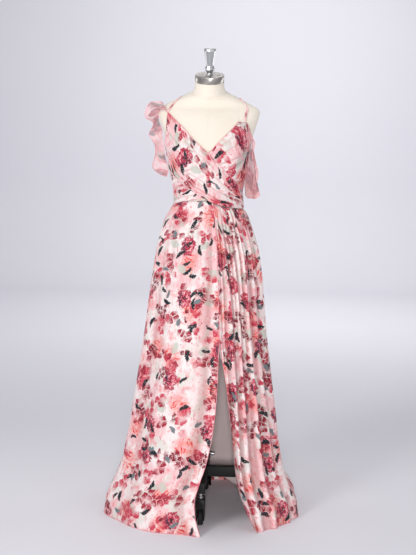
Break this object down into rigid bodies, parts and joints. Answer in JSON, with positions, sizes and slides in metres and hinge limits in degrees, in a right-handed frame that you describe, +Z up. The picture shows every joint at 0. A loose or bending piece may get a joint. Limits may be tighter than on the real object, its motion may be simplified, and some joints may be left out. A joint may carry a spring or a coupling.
{
  "type": "maxi dress on a dress form",
  "caption": "Floor-length floral dress with a crossed pleated bodice, thin straps, armhole ruffles and a slit skirt over a lining, on a limbless form with a castered stand.",
  "frame": {"origin": "middle of the whole footprint, on the floor", "axes": "+X to the right of someone facing the dress, -Y to its front, +Z up"},
  "size_m": [0.6808, 0.6464, 1.6089],
  "materials": {
    "chiffon": "matte printed chiffon",
    "lining": "plain soft lining",
    "zip_tape": "woven tape",
    "zip_metal": "satin paint",
    "linen": "stretched linen",
    "steel": "turned and brushed",
    "chrome": "polished",
    "black_metal": "satin black",
    "rubber": "matte"
  },
  "bodies": {
    "dressed_form": {"bodice_back_left": "chiffon", "bodice_back_right": "chiffon", "bodice_front_over": "chiffon", "bodice_front_under": "chiffon", "caster_back_stem": "chrome", "caster_front_stem": "chrome", "caster_left_stem": "chrome", "caster_right_stem": "chrome", "form_finial": "chrome", "form_neck_cap": "steel", "form_torso": "linen", "lining_left": "lining", "lining_right": "lining", "ruffle_left": "chiffon", "ruffle_right": "chiffon", "skirt_back_left": "chiffon", "skirt_back_right": "chiffon", "skirt_front_left": "chiffon", "skirt_front_right": "chiffon", "stand_clamp_knob": "chrome", "stand_collar": "black_metal", "stand_leg_back": "black_metal", "stand_leg_bolt": "black_metal", "stand_leg_cross": "black_metal", "stand_leg_front": "black_metal", "stand_pole": "black_metal", "strap_left": "chiffon", "strap_right": "chiffon", "zip_slider": "zip_metal", "zip_strip": "zip_tape"},
    "caster_front": {"caster_front_hood": "black_metal"},
    "wheel_front": {"caster_front_wheel": "rubber"},
    "caster_right": {"caster_right_hood": "black_metal"},
    "wheel_right": {"caster_right_wheel": "rubber"},
    "caster_back": {"caster_back_hood": "black_metal"},
    "wheel_back": {"caster_back_wheel": "rubber"},
    "caster_left": {"caster_left_hood": "black_metal"},
    "wheel_left": {"caster_left_wheel": "rubber"},
    "pull_tab": {"zip_pull": "zip_metal"}
  },
  "joints": [
    {"name": "caster_front_swivel", "type": "hinge", "parent": "dressed_form", "child": "caster_front", "pos_m": [-0.00237, -0.21115, 0.098], "axis": [0, 0, 1], "continuous": true},
    {"name": "wheel_front_roll", "type": "hinge", "parent": "caster_front", "child": "wheel_front", "pos_m": [-0.00167, -0.19517, 0.028], "axis": [0.999, -0.0436, 0], "continuous": true},
    {"name": "caster_right_swivel", "type": "hinge", "parent": "dressed_form", "child": "caster_right", "pos_m": [0.20304, -0.02293, 0.098], "axis": [0, 0, 1], "continuous": true},
    {"name": "wheel_right_roll", "type": "hinge", "parent": "caster_right", "child": "wheel_right", "pos_m": [0.21653, -0.03153, 0.028], "axis": [-0.5373, -0.8434, 0], "continuous": true},
    {"name": "caster_back_swivel", "type": "hinge", "parent": "dressed_form", "child": "caster_back", "pos_m": [0.01482, 0.18247, 0.098], "axis": [0, 0, 1], "continuous": true},
    {"name": "wheel_back_roll", "type": "hinge", "parent": "caster_back", "child": "wheel_back", "pos_m": [0.01001, 0.19773, 0.028], "axis": [0.9537, 0.3007, 0], "continuous": true},
    {"name": "caster_left_swivel", "type": "hinge", "parent": "dressed_form", "child": "caster_left", "pos_m": [-0.19059, -0.00575, 0.098], "axis": [0, 0, 1], "continuous": true},
    {"name": "wheel_left_roll", "type": "hinge", "parent": "caster_left", "child": "wheel_left", "pos_m": [-0.20585, -0.01056, 0.028], "axis": [-0.3007, 0.9537, 0], "continuous": true},
    {"name": "zip_pull_swing", "type": "hinge", "parent": "dressed_form", "child": "pull_tab", "pos_m": [0.00623, 0.09105, 1.2312], "axis": [1, 0, 0], "range_deg": [0, 120]}
  ]
}
